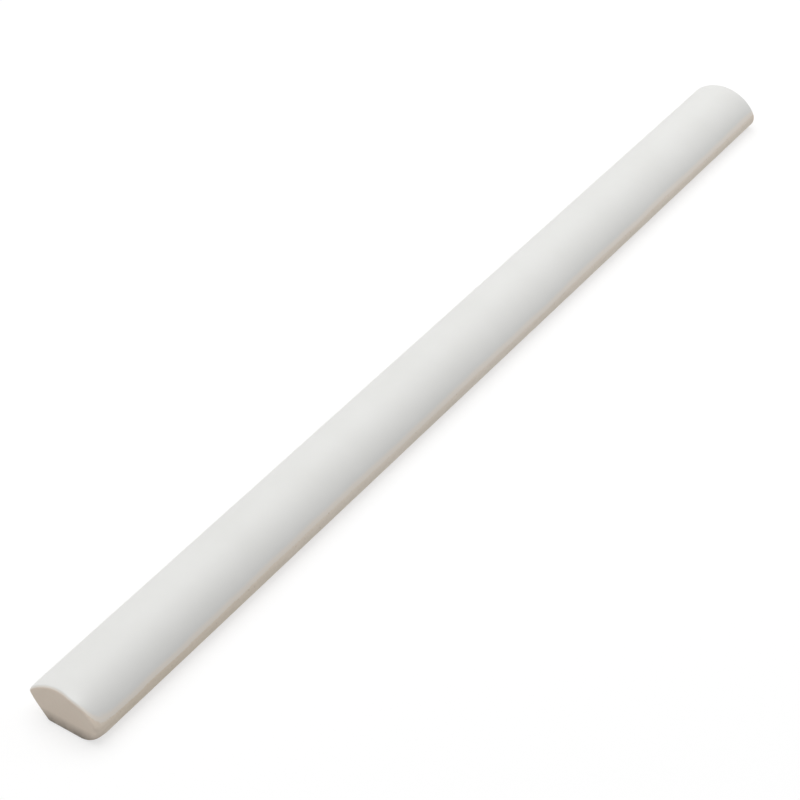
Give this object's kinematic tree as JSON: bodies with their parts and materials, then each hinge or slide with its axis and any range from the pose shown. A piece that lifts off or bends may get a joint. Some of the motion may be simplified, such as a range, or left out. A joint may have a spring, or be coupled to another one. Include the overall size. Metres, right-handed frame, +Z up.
{
  "type": "bullnose tile",
  "caption": "Slim ceramic bullnose trim tile with a domed white-glazed crown, a rounded bare-clay nose and an undercut back, bedded flat to finish the edge of a tiled surface.",
  "frame": {"origin": "middle of the flat underside, half way along the bar and half way across its overall width", "axes": "+X along the bar, +Y from the rounded nose to the undercut back, +Z up from the underside to the crown"},
  "size_m": [0.2, 0.013, 0.0072],
  "materials": {
    "glazed_clay": "satin white glaze over the crown; bare beige fired clay on the ends, the nose, the undercut back and the underside"
  },
  "bodies": {
    "root": {"bullnose_tile": "glazed_clay"}
  },
  "joints": []
}
